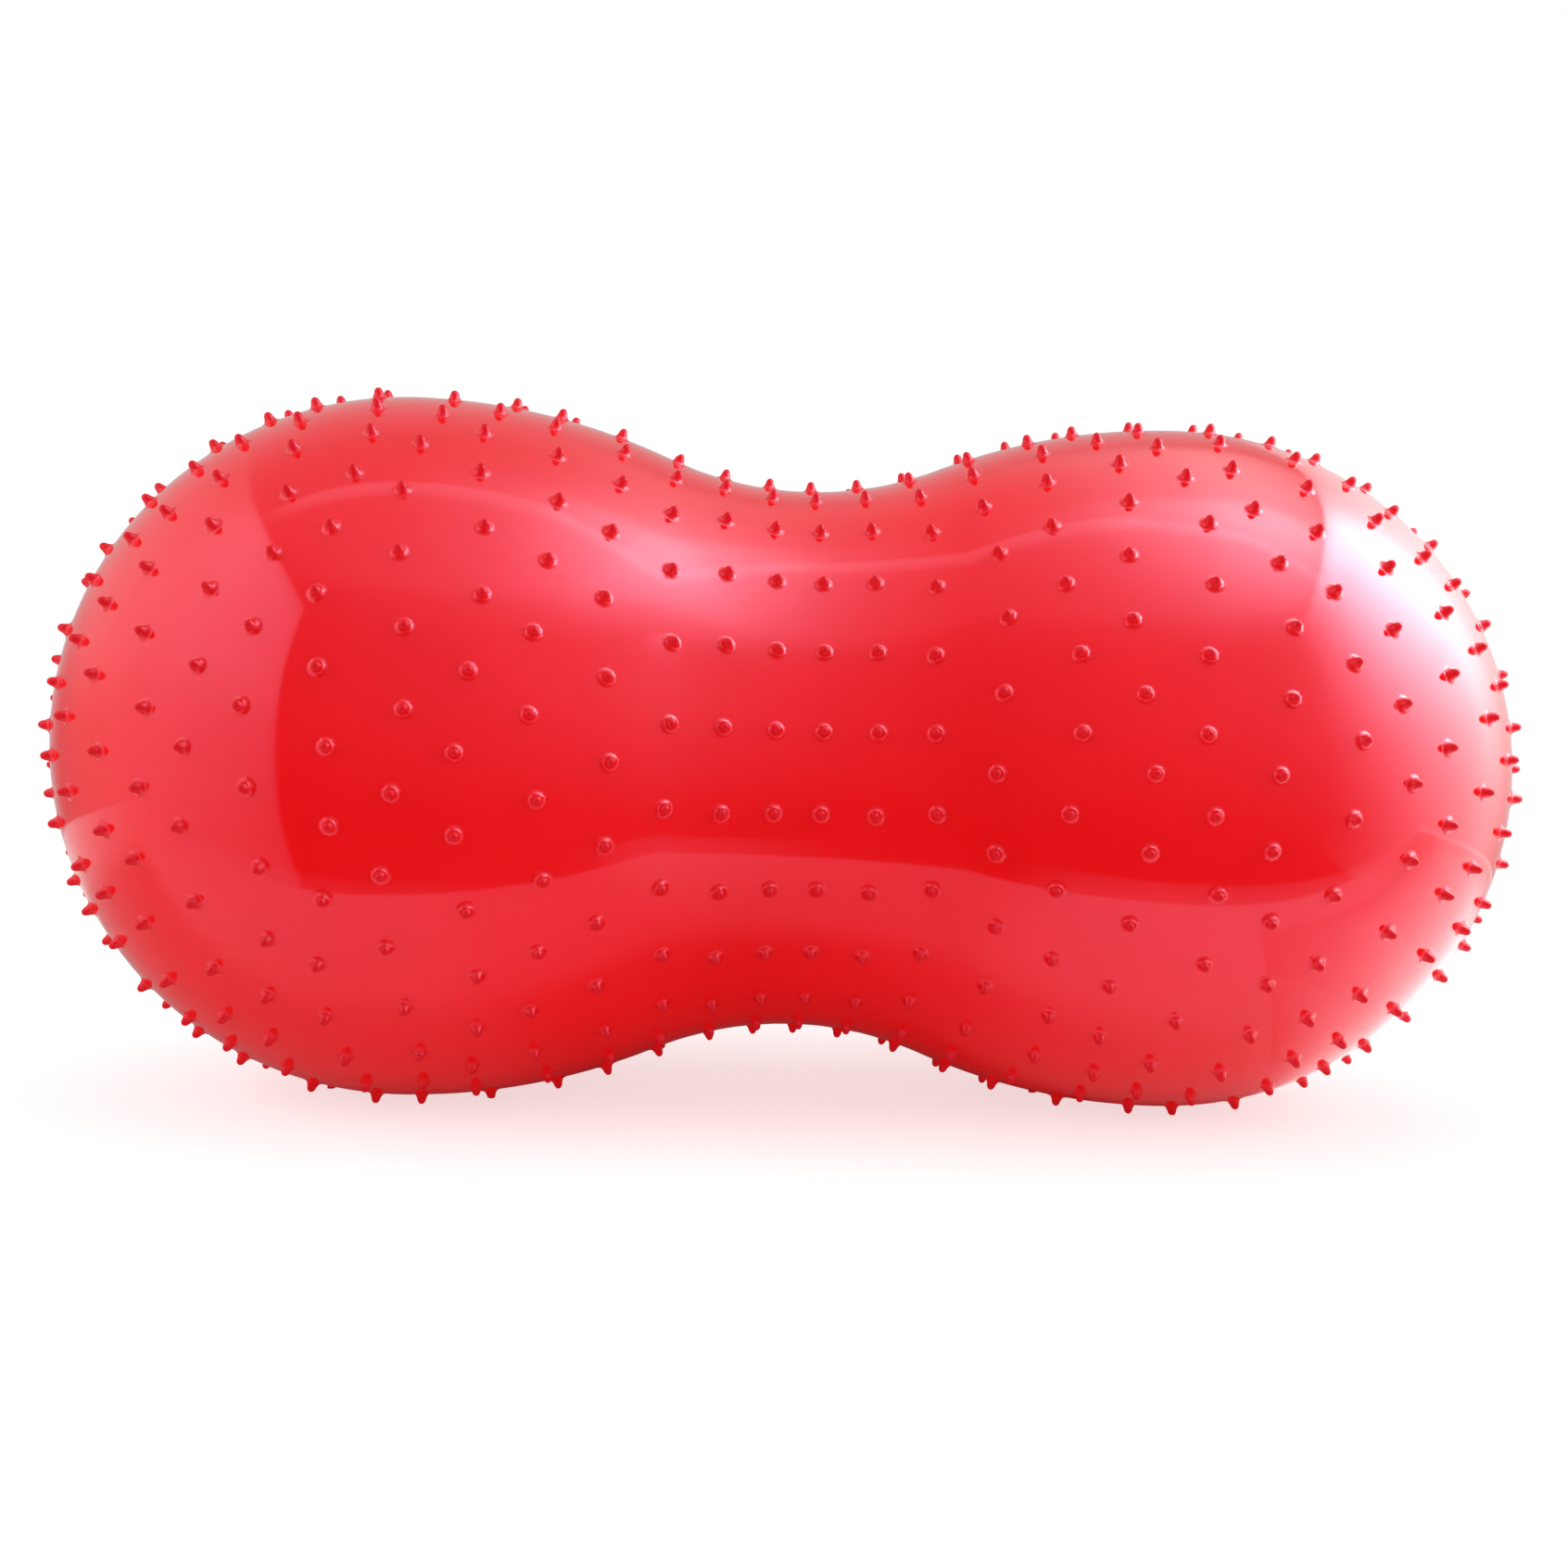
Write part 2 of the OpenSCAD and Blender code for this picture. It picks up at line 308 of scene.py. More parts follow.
def valve_cell(skin):
    """Patch, seat and hole: the valve's outline turned round its axis, which points to the back.

    A point lies at the valve plus q cos t along X, q sin t down Z and its height along Y, and the outer
    rings follow the round skin instead.
    """
    turn = np.radians(np.arange(VALVE_SIDES) * 360 / VALVE_SIDES)
    q, h, out, up, follow = [VALVE_OUTLINE[:, k][:, None] for k in range(5)]
    c, d = q * np.cos(turn), q * np.sin(turn)
    flat = VALVE_POINT + np.stack([c, h + 0 * c, -d], -1)
    ring_s = -CREST_S + c
    ring_a = VALVE_A + np.degrees(np.arctan2(d, LOBE_R + 0 * d))
    curved = skin_point(ring_s, ring_a, h)
    outward = skin_frame(ring_s, ring_a)[2]
    face = follow[..., None] * outward + (1 - follow[..., None]) * np.array([0.0, 1.0, 0.0])
    sideways = (np.cos(turn)[:, None] * np.array([1.0, 0.0, 0.0])
                + np.sin(turn)[:, None] * np.array([0.0, 0.0, -1.0]))
    places = flat + follow[..., None] * (curved - flat)
    rings = skin.add(places, out[..., None] * sideways + up[..., None] * face)
    bottom_place = VALVE_POINT + np.array([[0.0, PATCH_H - SEAT_DEPTH - VALVE_DEPTH, 0.0]])
    bottom = skin.add(bottom_place, np.array([[0.0, 1.0, 0.0]]))[0]
    skin.fan(bottom, rings[-1])
    for k in range(len(VALVE_OUTLINE) - 1):
        skin.quads(rings[k + 1], rings[k])
    return rings[:1], ring_a[:1]


def key_shift(sides, start):
    """How far out the points of a cell count when two lines are joined: SKIN_STEP / 2 (1 - |cos t|)^2.

    Without it the steep steps at a cell's two ends would reach back and fold the skin.
    """
    turn = np.radians(start + np.arange(sides) * 360 / sides)
    return SKIN_STEP / 2 * (1 - np.abs(np.cos(turn))) ** 2 * np.sign(np.round(np.sin(turn), 9))


def ring_lines(skin, ring):
    """The left and right lines of a ring of nubs, through its cells' edges and points between them."""
    cells, angles = nub_cells(skin, ring.s, ring.a)
    keys = angles + np.degrees(key_shift(NUB_SIDES, NUB_TURN) / outline_at(ring.base)[1])
    # A cell's points run from t = NUB_TURN; those from 270 up through 0 to 90 degrees face right
    right = np.r_[NUB_SIDES * 3 // 4:NUB_SIDES, 0:NUB_SIDES // 4 + 1]
    left = np.arange(NUB_SIDES // 4, NUB_SIDES * 3 // 4 + 1)[::-1]
    parts = {1: [(keys[:, right], cells[:, right])], -1: [(keys[:, left], cells[:, left])]}
    starts, ends = angles[:, right[0]], angles[:, right[-1]]
    if ring.valve:
        valve, valve_a = valve_cell(skin)
        valve_key = valve_a + np.degrees(key_shift(VALVE_SIDES, 0) / LOBE_R)
        right = np.r_[VALVE_SIDES * 3 // 4:VALVE_SIDES, 0:VALVE_SIDES // 4 + 1]
        left = np.arange(VALVE_SIDES // 4, VALVE_SIDES * 3 // 4 + 1)[::-1]
        parts[1].append((valve_key[:, right], valve[:, right]))
        parts[-1].append((valve_key[:, left], valve[:, left]))
        starts = np.append(starts, valve_a[0, right[0]])
        ends = np.append(ends, valve_a[0, right[-1]])
    order = np.argsort(starts)
    starts, ends = starts[order], ends[order]
    gap = np.append(starts[1:], starts[0] + 360) - ends
    inner = np.maximum(1, np.round(np.radians(gap) * outline_at(ring.base)[1] / SKIN_STEP).astype(int) - 1)
    which = np.repeat(np.arange(len(gap)), inner)
    step = np.arange(inner.sum()) - np.repeat(np.cumsum(inner) - inner, inner) + 1
    a = (ends[which] + gap[which] * step / (inner[which] + 1)) % 360
    s = ring.line(a)
    between = skin.add(skin_point(s, a), skin_frame(s, a)[2])
    lines = {}
    for face in (-1, 1):
        line_a = np.concatenate([a] + [p[0].ravel() for p in parts[face]]) % 360
        line_n = np.concatenate([between] + [p[1].ravel() for p in parts[face]])
        order = np.argsort(line_a)
        lines[face] = (line_a[order], line_n[order])
    return lines


def ring_between(skin, a, s):
    """A closed line of points on the bare skin."""
    return a, skin.add(skin_point(s, a), skin_frame(s, a)[2])


def ball_skin():
    """The whole skin: rings of nub cells from the left end to the right, with even lines between them."""
    skin = Skin()
    bases = half_rings()
    rings = [Ring(-1, i, bases[i]) for i in reversed(range(len(bases)))]
    rings += [Ring(1, i, bases[i]) for i in range(len(bases))]
    lines = [ring_lines(skin, ring) for ring in rings]
    low, low_edge = pole_cell(skin, -1), lambda a: 0 * a - POLE_S + CELL_R
    for k in range(len(rings) + 1):
        last = k == len(rings)
        if last:
            high, high_edge = pole_cell(skin, 1), lambda a: 0 * a + POLE_S - CELL_R
        else:
            ring = rings[k]
            high, high_edge = lines[k][-1], lambda a, ring=ring: ring.line(a) - ring.half_width(a)
        probe = np.arange(0, 360, 5.0)
        width = float(np.mean(high_edge(probe) - low_edge(probe)))
        count = max(1, round(width / SKIN_STEP) - 1)
        wide_r = max(float(outline_at(np.mean(edge(probe)))[1]) for edge in (low_edge, high_edge))
        around = round(2 * math.pi * wide_r / SKIN_STEP)
        for j in range(1, count + 1):
            a = (np.arange(around) + 0.5 * (j % 2)) * 360 / around
            s = low_edge(a) + np.maximum(high_edge(a) - low_edge(a), LEAST_BAND) * j / (count + 1)
            line = ring_between(skin, a, s)
            skin.zip(low, line)
            low = line
        skin.zip(low, high)
        if not last:
            low, low_edge = lines[k][1], lambda a, ring=ring: ring.line(a) + ring.half_width(a)
    return skin


def mesh_piece(name, points, faces, normals=None):
    """A mesh object from whole arrays of points and triangles, shaded smooth with given normals."""
    mesh = bpy.data.meshes.new(name)
    mesh.vertices.add(len(points))
    mesh.vertices.foreach_set("co", np.asarray(points, np.float32).ravel())
    mesh.loops.add(faces.size)
    mesh.loops.foreach_set("vertex_index", faces.astype(np.int32).ravel())
    mesh.polygons.add(len(faces))
    mesh.polygons.foreach_set("loop_start", np.arange(0, faces.size, faces.shape[1], dtype=np.int32))
    mesh.polygons.foreach_set("use_smooth", np.ones(len(faces), bool))
    mesh.update(calc_edges=True)
    if normals is not None:
        mesh.normals_split_custom_set_from_vertices(normals.tolist())
    piece = bpy.data.objects.new(name, mesh)
    bpy.context.collection.objects.link(piece)
    return piece


def build_ball():
    """The skin as one piece, pressed flat where it lies on the floor: z is never under 0."""
    skin = ball_skin()
    points = np.concatenate(skin.points)
    normals = np.concatenate(skin.normals)
    normals /= np.linalg.norm(normals, axis=1, keepdims=True)
    pressed = points[:, 2] < 0
    points[pressed, 2] = 0.0
    normals[pressed] = (0.0, 0.0, -1.0)
    faces = np.concatenate(skin.faces)
    piece = mesh_piece("ball_skin", points, faces, normals)
    weight = piece.data.attributes.new("nub", "FLOAT", "POINT")
    weight.data.foreach_set("value", np.concatenate(skin.weights).astype(np.float32))
    print("skin", len(points), "points", len(faces), "triangles")
    return piece


# Materials

def nodes_of(material):
    """A fresh node tree with an output and the principled shader, and a short way to add nodes."""
    material.use_nodes = True
    tree = material.node_tree
    tree.nodes.clear()
    out = tree.nodes.new("ShaderNodeOutputMaterial")
    shader = tree.nodes.new("ShaderNodeBsdfPrincipled")
    tree.links.new(shader.outputs[0], out.inputs[0])
    return tree, shader


def vinyl_material():
    """Glossy red vinyl, a little clear, faintly uneven like blown film: deeper and duller at the nubs."""
    material = bpy.data.materials.new("red_vinyl")
    tree, shader = nodes_of(material)
    new, link = tree.nodes.new, tree.links.new
    place = new("ShaderNodeTexCoord")
    cloud = new("ShaderNodeTexNoise")
    cloud.inputs["Scale"].default_value = 9.0
    cloud.inputs["Detail"].default_value = 2.0
    link(place.outputs["Object"], cloud.inputs["Vector"])
    shade = new("ShaderNodeValToRGB")
    shade.color_ramp.elements[0].position = 0.3
    shade.color_ramp.elements[0].color = (0.80, 0.0044, 0.0056, 1)
    shade.color_ramp.elements[1].position = 0.7
    shade.color_ramp.elements[1].color = (0.85, 0.0054, 0.0070, 1)
    link(cloud.outputs["Fac"], shade.inputs["Fac"])
    nub = new("ShaderNodeAttribute")
    nub.attribute_name = "nub"
    deep = new("ShaderNodeMix")
    deep.data_type = "RGBA"
    deep.inputs["B"].default_value = (0.56, 0.0034, 0.0100, 1)
    link(shade.outputs["Color"], deep.inputs["A"])
    share = new("ShaderNodeMath")
    share.operation = "MULTIPLY"
    share.inputs[1].default_value = 0.8
    link(nub.outputs["Fac"], share.inputs[0])
    link(share.outputs[0], deep.inputs["Factor"])
    link(deep.outputs["Result"], shader.inputs["Base Color"])
    film = new("ShaderNodeTexNoise")
    film.inputs["Scale"].default_value = 26.0
    film.inputs["Detail"].default_value = 3.0
    link(place.outputs["Object"], film.inputs["Vector"])
    rough = new("ShaderNodeMapRange")
    rough.inputs["To Min"].default_value = 0.055
    rough.inputs["To Max"].default_value = 0.10
    link(film.outputs["Fac"], rough.inputs["Value"])
    satin = new("ShaderNodeMath")
    satin.operation = "MULTIPLY_ADD"
    satin.inputs[1].default_value = 0.24
    link(nub.outputs["Fac"], satin.inputs[0])
    link(rough.outputs["Result"], satin.inputs[2])
    link(satin.outputs[0], shader.inputs["Roughness"])
    dull = new("ShaderNodeMapRange")
    dull.inputs["To Min"].default_value = 0.5
    dull.inputs["To Max"].default_value = 0.12
    link(nub.outputs["Fac"], dull.inputs["Value"])
    link(dull.outputs["Result"], shader.inputs["Specular IOR Level"])
    bump = new("ShaderNodeBump")
    bump.inputs["Strength"].default_value = 0.06
    bump.inputs["Distance"].default_value = 0.01
    link(cloud.outputs["Fac"], bump.inputs["Height"])
    link(bump.outputs["Normal"], shader.inputs["Normal"])
    shader.inputs["IOR"].default_value = 1.52
    shader.inputs["Specular Tint"].default_value = (1.0, 0.66, 1.0, 1)
    shader.inputs["Subsurface Weight"].default_value = 0.12
    shader.inputs["Subsurface Radius"].default_value = (1.0, 0.12, 0.08)
    shader.inputs["Subsurface Scale"].default_value = 0.012
    return material


def plug_material():
    """Pale satin polyethylene with fine moulded grain and a little wear."""
    material = bpy.data.materials.new("pale_plug_plastic")
    tree, shader = nodes_of(material)
    new, link = tree.nodes.new, tree.links.new
    place = new("ShaderNodeTexCoord")
    grain = new("ShaderNodeTexNoise")
    grain.inputs["Scale"].default_value = 900.0
    grain.inputs["Detail"].default_value = 3.0
    link(place.outputs["Object"], grain.inputs["Vector"])
    stain = new("ShaderNodeTexNoise")
    stain.inputs["Scale"].default_value = 160.0
    link(place.outputs["Object"], stain.inputs["Vector"])
    shade = new("ShaderNodeValToRGB")
    shade.color_ramp.elements[0].position = 0.35
    shade.color_ramp.elements[0].color = (0.74, 0.72, 0.68, 1)
    shade.color_ramp.elements[1].position = 0.65
    shade.color_ramp.elements[1].color = (0.84, 0.83, 0.80, 1)
    link(stain.outputs["Fac"], shade.inputs["Fac"])
    link(shade.outputs["Color"], shader.inputs["Base Color"])
    rough = new("ShaderNodeMapRange")
    rough.inputs["To Min"].default_value = 0.35
    rough.inputs["To Max"].default_value = 0.5
    link(grain.outputs["Fac"], rough.inputs["Value"])
    link(rough.outputs["Result"], shader.inputs["Roughness"])
    bump = new("ShaderNodeBump")
    bump.inputs["Strength"].default_value = 0.15
    bump.inputs["Distance"].default_value = 0.0002
    link(grain.outputs["Fac"], bump.inputs["Height"])
    link(bump.outputs["Normal"], shader.inputs["Normal"])
    shader.inputs["Subsurface Weight"].default_value = 0.2
    shader.inputs["Subsurface Radius"].default_value = (1.0, 0.9, 0.7)
    shader.inputs["Subsurface Scale"].default_value = 0.002
    return material


ball = build_ball()
ball.data.materials.append(vinyl_material())
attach(ball, "root")
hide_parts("ball")

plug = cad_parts["air_plug"]
plug_look = plug_material()
for slot in plug.material_slots:
    slot.material = plug_look


# Studio

def falloff(tree, points):
    """A curve node through (place, glow) points, with places as shares of the way from first to last."""
    low, high = points[0][0], points[-1][0]
    node = tree.nodes.new("ShaderNodeFloatCurve")
    curve = node.mapping.curves[0]
    for place, glow in points[1:-1]:
        curve.points.new((place - low) / (high - low), glow)
    curve.points[0].location = (0.0, points[0][1])
    curve.points[-1].location = (1.0, points[-1][1])
    for point in curve.points:
        point.handle_type = "AUTO_CLAMPED"
    node.mapping.update()
    return node


def card(name, side, at, strength, across, up, slant=0.0):
    """A flat card square to the axis `side`, at a distance along it, that adds its glow to what is behind.

    Its glow is strength times a falloff across it (along Y, or X on the ceiling) times one up it (along Z,
    or Y on the ceiling), both given as (metres, share). With a slant the card climbs by that much for each
    metre across. Only the gloss sees the card: matt surfaces are lit by the world and the soft lights.
    """
    near, far = across[0][0], across[-1][0]
    low, high = up[0][0], up[-1][0]
    climb = slant * (far - near)
    corners = [(near, low), (far, low + climb), (far, high + climb), (near, high)]
    mesh = bpy.data.meshes.new(name)
    mesh.from_pydata([(at, u, v) if side == "x" else (u, v, at) for u, v in corners], [], [(0, 1, 2, 3)])
    uv = mesh.uv_layers.new(name="place")
    uv.data.foreach_set("uv", np.array([0, 0, 1, 0, 1, 1, 0, 1], np.float32))
    piece = bpy.data.objects.new(name, mesh)
    bpy.context.collection.objects.link(piece)
    material = bpy.data.materials.new(name)
    material.use_nodes = True
    tree = material.node_tree
    tree.nodes.clear()
    new, link = tree.nodes.new, tree.links.new
    out, glow = new("ShaderNodeOutputMaterial"), new("ShaderNodeEmission")
    clear, both = new("ShaderNodeBsdfTransparent"), new("ShaderNodeAddShader")
    link(glow.outputs[0], both.inputs[0])
    link(clear.outputs[0], both.inputs[1])
    link(both.outputs[0], out.inputs[0])
    place, split = new("ShaderNodeUVMap"), new("ShaderNodeSeparateXYZ")
    place.uv_map = "place"
    link(place.outputs[0], split.inputs[0])
    share, level = new("ShaderNodeMath"), new("ShaderNodeMath")
    share.operation = level.operation = "MULTIPLY"
    for k, line in enumerate((across, up)):
        curve = falloff(tree, line)
        link(split.outputs[k], curve.inputs["Value"])
        link(curve.outputs[0], share.inputs[k])
    link(share.outputs[0], level.inputs[0])
    level.inputs[1].default_value = strength
    link(level.outputs[0], glow.inputs["Strength"])
    mesh.materials.append(material)
    piece.visible_camera = False
    piece.visible_shadow = False
    piece.visible_diffuse = False


def paper_material(name, pale, glow, lift):
    """Plain pale paper that glows a little by itself, and more for the camera, so that it stays pale."""
    material = bpy.data.materials.new(name)
    tree, shader = nodes_of(material)
    shader.inputs["Base Color"].default_value = (pale, pale, pale, 1)
    shader.inputs["Roughness"].default_value = 0.9
    shader.inputs["Specular IOR Level"].default_value = 0.0
    shader.inputs["Emission Color"].default_value = (1, 1, 1, 1)
    path = tree.nodes.new("ShaderNodeLightPath")
    level = tree.nodes.new("ShaderNodeMapRange")
    level.inputs["To Min"].default_value = glow
    level.inputs["To Max"].default_value = glow + lift
    tree.links.new(path.outputs["Is Camera Ray"], level.inputs["Value"])
    tree.links.new(level.outputs[0], shader.inputs["Emission Strength"])
    material.cycles.emission_sampling = "NONE"
    return material


def level_sheet(name, corners, z, pale, glow, lift=0.0):
    """A level sheet of paper through four corners."""
    points = np.array([[x, y, z] for x, y in corners])
    piece = mesh_piece(name, points, np.array([[0, 1, 2, 3]]))
    piece.data.materials.append(paper_material(name, pale, glow, lift))
    return piece


def shade_paper(material, pale, across, along):
    """Paints extra shade into the paper's colour: darkens it to pale (1 - f g), with f a falloff over x and
    g one over y, in (metres, share).
    """
    tree = material.node_tree
    new, link = tree.nodes.new, tree.links.new
    at, split = new("ShaderNodeTexCoord"), new("ShaderNodeSeparateXYZ")
    link(at.outputs["Object"], split.inputs[0])
    dark = new("ShaderNodeMath")
    dark.operation = "MULTIPLY"
    for k, line in enumerate((across, along)):
        share, curve = new("ShaderNodeMapRange"), falloff(tree, line)
        share.inputs["From Min"].default_value = line[0][0]
        share.inputs["From Max"].default_value = line[-1][0]
        link(split.outputs[k], share.inputs["Value"])
        link(share.outputs[0], curve.inputs["Value"])
        link(curve.outputs[0], dark.inputs[k])
    tone = new("ShaderNodeMix")
    tone.data_type = "RGBA"
    tone.inputs["A"].default_value = (pale, pale, pale, 1)
    tone.inputs["B"].default_value = (0.0, 0.0, 0.0, 1)
    link(dark.outputs[0], tone.inputs["Factor"])
    shader = next(n for n in tree.nodes if n.type == "BSDF_PRINCIPLED")
    link(tone.outputs["Result"], shader.inputs["Base Color"])


# The floor, and the sheet of paper that the gloss sees: in front of the sheet the room is dark
PAPER_PALE = 0.9
floor = level_sheet("floor", ((-40, -40), (40, -40), (40, 40), (-40, 40)), z=-0.0006,
                    pale=0.5, glow=0.47, lift=0.17)
floor.visible_glossy = False
paper = level_sheet("paper", ((-1.2, -0.28), (1.3, -0.42), (1.3, 3), (-1.2, 3)), z=-0.0003,
                    pale=PAPER_PALE, glow=0.0)
# Painted shade on the paper's colour, under and just in front of the ball: most under the waist, less under
# the lobes and towards the back left
shade_paper(paper.data.materials[0], PAPER_PALE,
            across=((-1.2, 0.0), (-0.85, 0.1), (-0.65, 0.5), (-0.42, 0.55), (-0.2, 0.5), (-0.1, 0.75),
                    (0.05, 0.75), (0.15, 0.6), (0.27, 0.4), (0.4, 0.0), (1.3, 0.0)),
            along=((-0.42, 0.0), (-0.24, 0.0), (-0.17, 0.45), (-0.1, 1.0), (0.25, 1.0), (0.7, 0.0),
                   (3.0, 0.0)))
paper.visible_camera = False
paper.visible_diffuse = False
paper.visible_shadow = False

# A big soft wall on the left, a bright window on the right and a soft lamp overhead. Their falloffs were
# fitted to the brightness of the photograph's reflections and then changed.
card("left_wall", "x", -1.2, strength=2.0,
     across=((-1.50, 0.0), (-1.44, 0.7), (-1.2, 0.86), (-0.6, 1.0), (-0.2, 0.75), (0.2, 0.28),
             (0.6, 0.08), (1.1, 0.0)),
     up=((-1.2, 0.35), (-0.4, 0.45), (0.0, 0.6), (0.3, 0.7), (0.7, 0.97), (1.1, 1.0), (1.50, 0.75),
         (1.55, 0.0)))
card("right_window", "x", 1.25, strength=12.0,
     across=((-2.4, 0.0), (-1.5, 0.02), (-1.2, 0.11), (-0.9, 0.30), (-0.6, 0.62), (-0.3, 0.90), (0.0, 1.0),
             (0.3, 0.69), (0.7, 0.23), (1.2, 0.09), (2.4, 0.0)),
     up=((-0.4, 0.14), (0.0, 0.16), (0.3, 0.28), (0.6, 0.56), (0.9, 0.85), (1.2, 0.96), (1.60, 0.55),
         (1.64, 0.0)))
card("overhead_lamp", "z", 1.72, strength=5.7,
     across=((-0.4, 0.0), (0.0, 0.12), (0.25, 0.36), (0.5, 0.66), (0.8, 1.0), (1.05, 0.86), (1.3, 0.55),
             (1.6, 0.0)),
     up=((-2.0, 0.0), (-1.6, 0.06), (-1.2, 0.22), (-0.8, 0.53), (-0.5, 0.78), (-0.22, 1.0), (0.1, 0.5),
         (0.4, 0.36), (1.2, 0.0)))
# Lit parts of the floor, and two faint bright edges of the ceiling
card("lit_floor", "z", 0.0004, strength=0.8,
     across=((0.0, 0.0), (0.22, 0.9), (0.5, 1.0), (0.8, 0.4), (1.3, 0.3)),
     up=((-0.42, 0.5), (-0.32, 1.0), (-0.2, 0.85), (-0.12, 0.3), (-0.04, 0.0)))
card("lit_floor_left", "z", 0.0004, strength=0.27,
     across=((-0.75, 0.0), (-0.55, 0.7), (-0.4, 1.0), (-0.25, 1.0), (-0.15, 0.3), (-0.08, 0.0)),
     up=((-0.37, 0.0), (-0.31, 1.0), (-0.2, 0.8), (-0.1, 0.15), (0.0, 0.0)))
card("lit_floor_right", "z", 0.0004, strength=1.5,
     across=((0.3, 0.0), (0.42, 0.7), (0.55, 1.0), (0.8, 0.9), (1.25, 0.6)),
     up=((-0.3, 0.0), (-0.18, 0.7), (-0.05, 1.0), (0.1, 1.0), (0.35, 0.5), (0.6, 0.0)))
card("ceiling_edge", "z", 1.71, strength=0.8,
     across=((-1.4, 0.0), (-0.6, 1.0), (0.1, 1.0), (0.35, 0.0)),
     up=((-0.34, 0.0), (-0.24, 0.9), (-0.18, 1.0), (-0.16, 0.0)))
card("ceiling_rail", "z", 1.70, strength=1.3,
     across=((0.1, 0.0), (0.35, 0.8), (0.9, 1.0), (1.6, 0.6)),
     up=((-0.30, 0.0), (-0.22, 0.9), (-0.17, 1.0), (-0.16, 0.0)), slant=-0.35)


def soft_light(name, place, aim, size, watts):
    """An area light for matt surfaces only: the gloss sees the cards instead."""
    data = bpy.data.lights.new(name, "AREA")
    data.shape = "RECTANGLE"
    data.size, data.size_y = size
    data.energy = watts
    piece = bpy.data.objects.new(name, data)
    bpy.context.collection.objects.link(piece)
    piece.location = place
    piece.rotation_euler = (Vector(aim) - Vector(place)).to_track_quat("-Z", "Y").to_euler()
    piece.visible_camera = False
    piece.visible_glossy = False


soft_light("right_light", (1.5, -0.6, 1.0), aim=(0.45, -0.1, 0.0), size=(1.3, 1.3), watts=8)
soft_light("low_light", (1.3, -0.7, 0.2), aim=(0.35, -0.1, 0.12), size=(0.8, 0.3), watts=1.4)
soft_light("left_light", (-1.5, -0.5, 0.8), aim=(-0.45, -0.1, 0.2), size=(1.2, 1.2), watts=7)
soft_light("top_light", (0.1, -0.1, 2.0), aim=(0, 0, 0.2), size=(1.6, 1.2), watts=6)


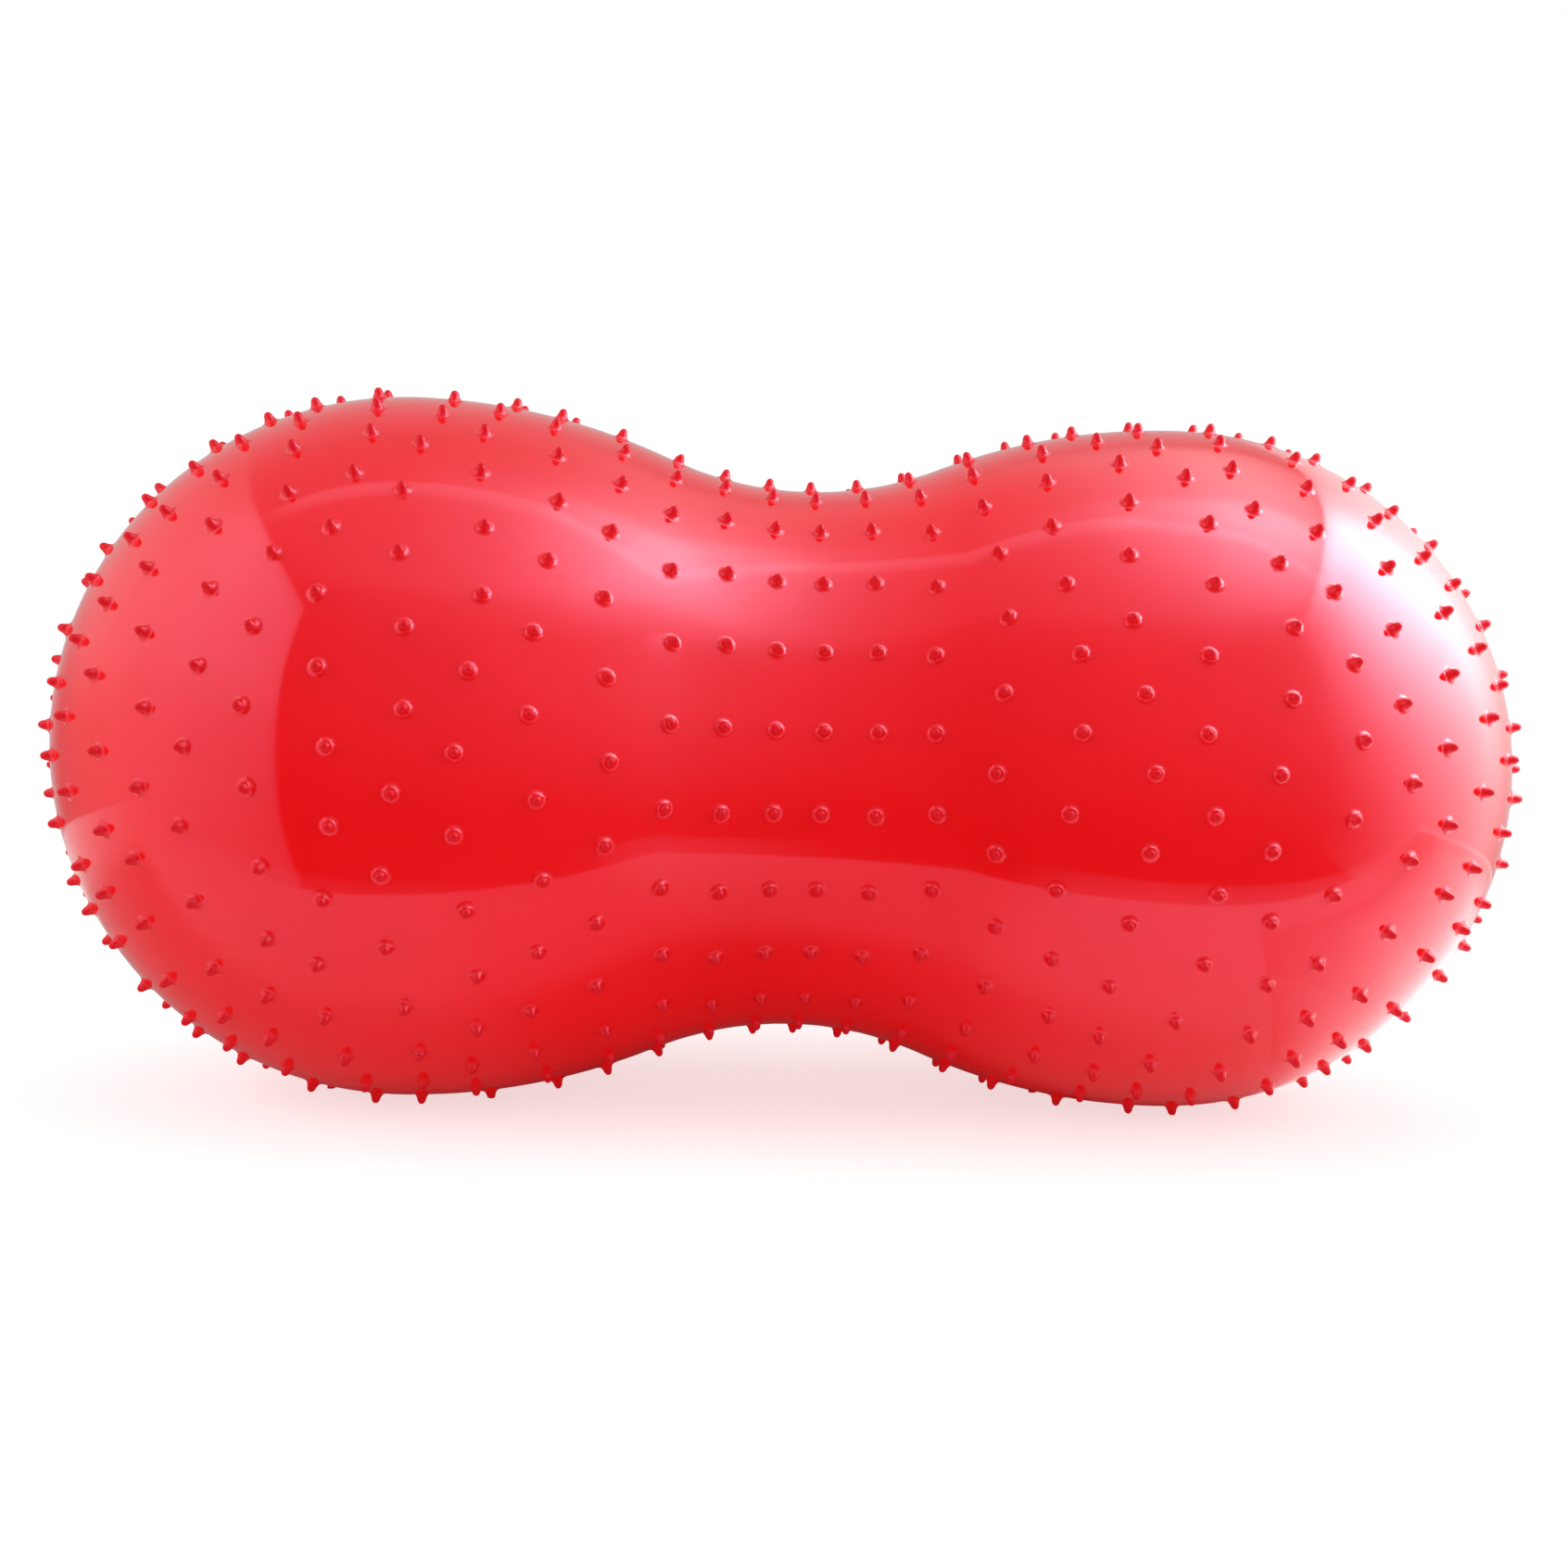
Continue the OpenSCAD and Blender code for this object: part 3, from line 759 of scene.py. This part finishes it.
def studio_world():
    """White for the camera and an even fill for matt surfaces. For gloss, with z upwards and y to the back:
    in front a ramp that grows with z, times e^(1.3 x); behind an even grey, darker at the sides below the
    horizon.
    """
    world = bpy.data.worlds.new("studio")
    bpy.context.scene.world = world
    world.use_nodes = True
    tree = world.node_tree
    tree.nodes.clear()
    new, link = tree.nodes.new, tree.links.new
    out = new("ShaderNodeOutputWorld")
    sky = new("ShaderNodeBackground")
    sky.inputs["Color"].default_value = (1, 1, 1, 1)
    link(sky.outputs[0], out.inputs[0])
    path = new("ShaderNodeLightPath")
    at = new("ShaderNodeTexCoord")
    split = new("ShaderNodeSeparateXYZ")
    link(at.outputs["Generated"], split.inputs[0])
    height = new("ShaderNodeMapRange")
    height.inputs["From Min"].default_value = -0.75
    link(split.outputs[2], height.inputs["Value"])
    # Fitted like the falloffs of the wall, the window and the lamp
    front = falloff(tree, ((-0.75, 0.06), (-0.5, 0.04), (-0.3, 0.06), (-0.1, 0.14), (0.1, 0.22),
                           (0.3, 0.31), (0.5, 0.385), (0.7, 0.59), (0.85, 0.92), (1.0, 0.80)))
    link(height.outputs[0], front.inputs["Value"])
    lean = new("ShaderNodeMath")
    lean.operation = "MULTIPLY"
    lean.inputs[1].default_value = 1.3
    link(split.outputs[0], lean.inputs[0])
    grow = new("ShaderNodeMath")
    grow.operation = "EXPONENT"
    link(lean.outputs[0], grow.inputs[0])
    glow = new("ShaderNodeMath")
    glow.operation = "MULTIPLY"
    link(front.outputs[0], glow.inputs[0])
    link(grow.outputs[0], glow.inputs[1])
    level = new("ShaderNodeMath")
    level.operation = "MULTIPLY"
    level.inputs[1].default_value = 1.5
    link(glow.outputs[0], level.inputs[0])
    back = new("ShaderNodeMapRange")
    back.interpolation_type = "SMOOTHSTEP"
    back.inputs["From Min"].default_value = -0.2
    back.inputs["From Max"].default_value = 0.45
    link(split.outputs[1], back.inputs["Value"])
    rear = new("ShaderNodeMapRange")
    rear.interpolation_type = "SMOOTHSTEP"
    rear.inputs["From Min"].default_value = 0.0
    rear.inputs["From Max"].default_value = 0.3
    rear.inputs["To Max"].default_value = 0.55
    link(split.outputs[2], rear.inputs["Value"])
    far = new("ShaderNodeMapRange")
    far.interpolation_type = "SMOOTHSTEP"
    far.inputs["From Min"].default_value = 0.65
    far.inputs["From Max"].default_value = 0.95
    far.inputs["To Min"].default_value = 0.18
    far.inputs["To Max"].default_value = 0.6
    link(split.outputs[1], far.inputs["Value"])
    link(far.outputs[0], rear.inputs["To Min"])
    room = new("ShaderNodeMix")
    link(rear.outputs[0], room.inputs["B"])
    link(back.outputs[0], room.inputs["Factor"])
    link(level.outputs[0], room.inputs["A"])
    gloss = new("ShaderNodeMix")
    gloss.inputs["A"].default_value = 0.735
    link(path.outputs["Is Glossy Ray"], gloss.inputs["Factor"])
    link(room.outputs[0], gloss.inputs["B"])
    seen = new("ShaderNodeMix")
    seen.inputs["B"].default_value = 1.0
    link(path.outputs["Is Camera Ray"], seen.inputs["Factor"])
    link(gloss.outputs[0], seen.inputs["A"])
    link(seen.outputs[0], sky.inputs["Strength"])


studio_world()


def camera():
    """The photograph's camera: level with the ball's axis, a metre off, turned a little right."""
    place = Vector((-0.0746, -1.0215, 0.2136))
    ahead = Vector((0.06797, 0.99756, -0.01622)).normalized()
    right = ahead.cross(Vector((0, 0, 1))).normalized()
    up = right.cross(ahead)
    roll = math.radians(1.72)
    side = math.cos(roll) * right + math.sin(roll) * up
    top = math.cos(roll) * up - math.sin(roll) * right
    data = bpy.data.cameras.new("photo_camera")
    data.sensor_width = 36.0
    data.lens = 36.51
    data.clip_start = 0.05
    data.clip_end = 60.0
    piece = bpy.data.objects.new("photo_camera", data)
    bpy.context.collection.objects.link(piece)
    turn = Matrix((side, top, -ahead)).transposed()
    piece.matrix_world = Matrix.Translation(place) @ turn.to_4x4()
    bpy.context.scene.camera = piece


camera()
bpy.context.scene.view_settings.view_transform = "Standard"
bpy.context.scene.view_settings.look = "None"
